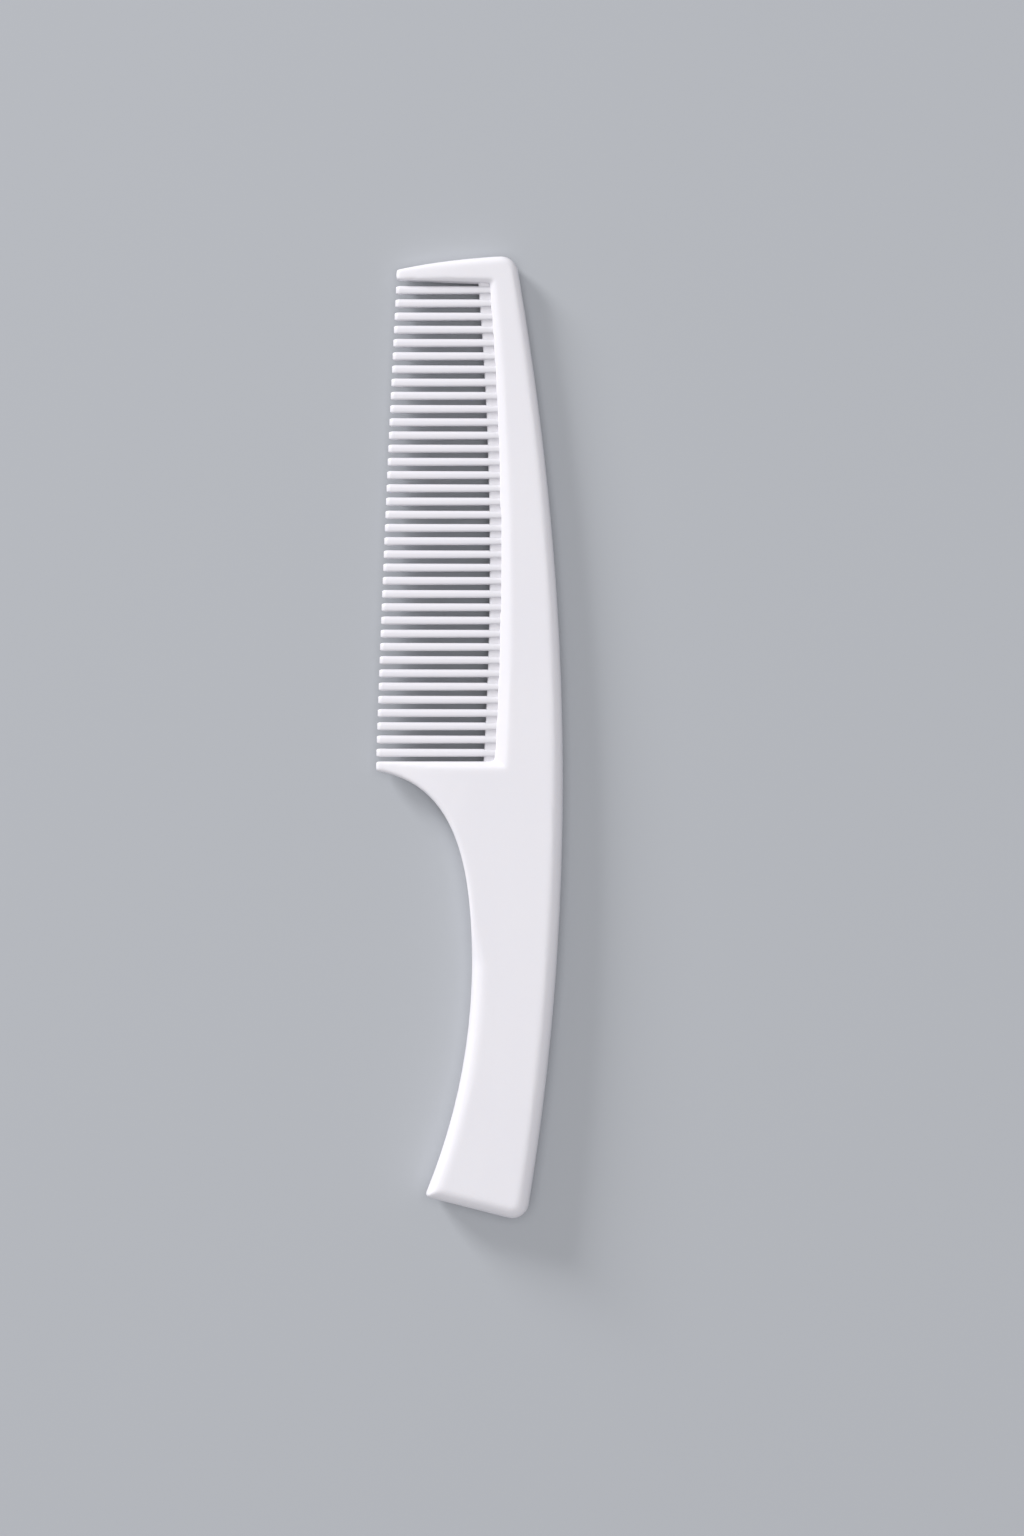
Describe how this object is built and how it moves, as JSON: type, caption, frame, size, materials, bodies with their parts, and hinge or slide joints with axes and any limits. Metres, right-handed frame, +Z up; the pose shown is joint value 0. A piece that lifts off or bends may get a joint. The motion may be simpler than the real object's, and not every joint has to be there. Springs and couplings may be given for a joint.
{
  "type": "handle comb",
  "caption": "Hand-held styling comb: a bowed spine with a flat curved handle, and a field of even parallel teeth with a broad guard tooth at each end.",
  "frame": {"origin": "middle of the comb's bounding box in plan, on the flat back face that it lies on", "axes": "+Y along the comb towards the head, +X across it towards the spine, so the teeth point along -X, +Z up out of the front face"},
  "size_m": [0.0418, 0.215, 0.0071],
  "materials": {
    "body_plastic": "satin moulded white",
    "tooth_plastic": "satin moulded white"
  },
  "bodies": {
    "root": {"comb_body": "body_plastic", "tooth_rail": "tooth_plastic", "tooth_01": "tooth_plastic", "tooth_02": "tooth_plastic", "tooth_03": "tooth_plastic", "tooth_04": "tooth_plastic", "tooth_05": "tooth_plastic", "tooth_06": "tooth_plastic", "tooth_07": "tooth_plastic", "tooth_08": "tooth_plastic", "tooth_09": "tooth_plastic", "tooth_10": "tooth_plastic", "tooth_11": "tooth_plastic", "tooth_12": "tooth_plastic", "tooth_13": "tooth_plastic", "tooth_14": "tooth_plastic", "tooth_15": "tooth_plastic", "tooth_16": "tooth_plastic", "tooth_17": "tooth_plastic", "tooth_18": "tooth_plastic", "tooth_19": "tooth_plastic", "tooth_20": "tooth_plastic", "tooth_21": "tooth_plastic", "tooth_22": "tooth_plastic", "tooth_23": "tooth_plastic", "tooth_24": "tooth_plastic", "tooth_25": "tooth_plastic", "tooth_26": "tooth_plastic", "tooth_27": "tooth_plastic", "tooth_28": "tooth_plastic", "tooth_29": "tooth_plastic", "tooth_30": "tooth_plastic", "tooth_31": "tooth_plastic", "tooth_32": "tooth_plastic", "tooth_33": "tooth_plastic", "tooth_34": "tooth_plastic", "tooth_35": "tooth_plastic", "tooth_36": "tooth_plastic"}
  },
  "joints": []
}
